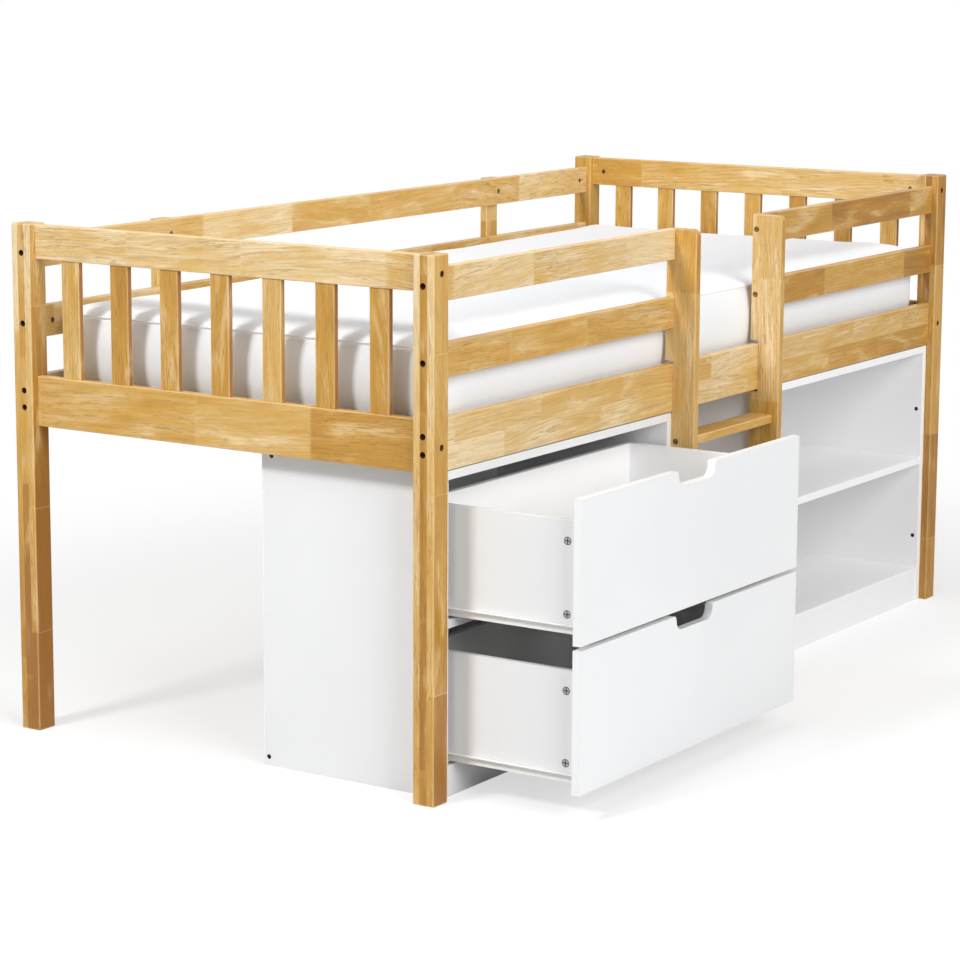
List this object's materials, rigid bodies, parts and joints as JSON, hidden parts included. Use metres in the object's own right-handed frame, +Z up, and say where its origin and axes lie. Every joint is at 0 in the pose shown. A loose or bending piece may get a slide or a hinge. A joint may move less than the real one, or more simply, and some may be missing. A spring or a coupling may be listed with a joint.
{
  "type": "kids bed",
  "caption": "Low cabin bed with guard rails, slatted base and mattress, a short ladder, a two-drawer chest and an open shelf unit under it",
  "frame": {"origin": "on the floor, at the middle of the whole part's box with both drawers pulled out as in the picture", "axes": "+X runs along the bed from its near end to its far end, -Y is the front with the ladder and the drawers, +Z is up"},
  "size_m": [2.07, 1.235, 0.981],
  "materials": {
    "pine": "clear satin lacquer over finger-jointed pine",
    "white_board": "satin white melamine on chipboard",
    "white_hardboard": "white-faced hardboard",
    "mattress_fabric": "woven white cover with piped edges",
    "dark_steel": "blackened steel",
    "zinc_steel": "zinc plated",
    "brass_screws": "yellow-passivated steel",
    "black_screws": "black oxide",
    "runner_metal": "white powder coat",
    "roller_plastic": "white nylon",
    "cam_metal": "dull zinc alloy"
  },
  "bodies": {
    "bed_frame": {"post_front_left": "pine", "post_front_right": "pine", "post_back_left": "pine", "post_back_right": "pine", "near_end_top_rail": "pine", "near_end_bottom_rail": "pine", "far_end_top_rail": "pine", "far_end_bottom_rail": "pine", "end_slats": "pine", "side_rail_front": "pine", "side_rail_back": "pine", "guard_left_top_rail": "pine", "guard_left_mid_rail": "pine", "guard_right_top_rail": "pine", "guard_right_mid_rail": "pine", "guard_back_top_rail": "pine", "guard_back_mid_rail": "pine", "guard_back_uprights": "pine", "slat_ledgers": "pine", "bed_slats": "pine", "ladder_left_stile": "pine", "ladder_right_stile": "pine", "ladder_rungs": "pine", "chest_left_side": "white_board", "chest_right_side": "white_board", "chest_top": "white_board", "chest_divider_rail": "white_board", "chest_plinth_rails": "white_board", "chest_back": "white_hardboard", "shelf_left_side": "white_board", "shelf_right_side": "white_board", "shelf_top": "white_board", "shelf_middle": "white_board", "shelf_bottom": "white_board", "shelf_plinth": "white_board", "shelf_back": "white_hardboard", "bed_bolts": "dark_steel", "barrel_nuts": "zinc_steel", "frame_screws": "brass_screws", "unit_screws": "black_screws", "chest_runners": "runner_metal"},
    "upper_drawer": {"upper_drawer_front": "white_board", "upper_drawer_left_side": "white_board", "upper_drawer_right_side": "white_board", "upper_drawer_back": "white_board", "upper_drawer_bottom": "white_hardboard", "upper_drawer_runners": "runner_metal", "upper_drawer_cams": "cam_metal"},
    "lower_drawer": {"lower_drawer_front": "white_board", "lower_drawer_left_side": "white_board", "lower_drawer_right_side": "white_board", "lower_drawer_back": "white_board", "lower_drawer_bottom": "white_hardboard", "lower_drawer_runners": "runner_metal", "lower_drawer_cams": "cam_metal"},
    "upper_fixed_rollers": {"upper_fixed_rollers": "roller_plastic"},
    "lower_fixed_rollers": {"lower_fixed_rollers": "roller_plastic"},
    "upper_moving_rollers": {"upper_moving_rollers": "roller_plastic"},
    "lower_moving_rollers": {"lower_moving_rollers": "roller_plastic"},
    "mattress": {"mattress": "mattress_fabric"}
  },
  "joints": [
    {"name": "upper_drawer_slide", "type": "slide", "parent": "bed_frame", "child": "upper_drawer", "axis": [0, -1, 0], "range_m": [-0.267, 0]},
    {"name": "lower_drawer_slide", "type": "slide", "parent": "bed_frame", "child": "lower_drawer", "axis": [0, -1, 0], "range_m": [-0.267, 0]},
    {"name": "upper_fixed_roller_spin", "type": "hinge", "parent": "bed_frame", "child": "upper_fixed_rollers", "pos_m": [-0.58, -0.3175, 0.3365], "axis": [1, 0, 0], "range_deg": [-1920, 5]},
    {"name": "lower_fixed_roller_spin", "type": "hinge", "parent": "bed_frame", "child": "lower_fixed_rollers", "pos_m": [-0.58, -0.3175, 0.0705], "axis": [1, 0, 0], "range_deg": [-1920, 5]},
    {"name": "upper_moving_roller_spin", "type": "hinge", "parent": "upper_drawer", "child": "upper_moving_rollers", "pos_m": [-0.58, -0.2655, 0.335], "axis": [1, 0, 0], "range_deg": [-2045, 5]},
    {"name": "lower_moving_roller_spin", "type": "hinge", "parent": "lower_drawer", "child": "lower_moving_rollers", "pos_m": [-0.58, -0.2655, 0.069], "axis": [1, 0, 0], "range_deg": [-2045, 5]},
    {"name": "mattress_lift", "type": "slide", "parent": "bed_frame", "child": "mattress", "axis": [0, 0, 1], "range_m": [0, 0.4]}
  ],
  "couplings": [
    {"joint": "upper_fixed_roller_spin", "follows": "upper_drawer_slide", "rad_per_m": 125},
    {"joint": "lower_fixed_roller_spin", "follows": "lower_drawer_slide", "rad_per_m": 125},
    {"joint": "upper_moving_roller_spin", "follows": "upper_drawer_slide", "rad_per_m": 133.33},
    {"joint": "lower_moving_roller_spin", "follows": "lower_drawer_slide", "rad_per_m": 133.33}
  ]
}
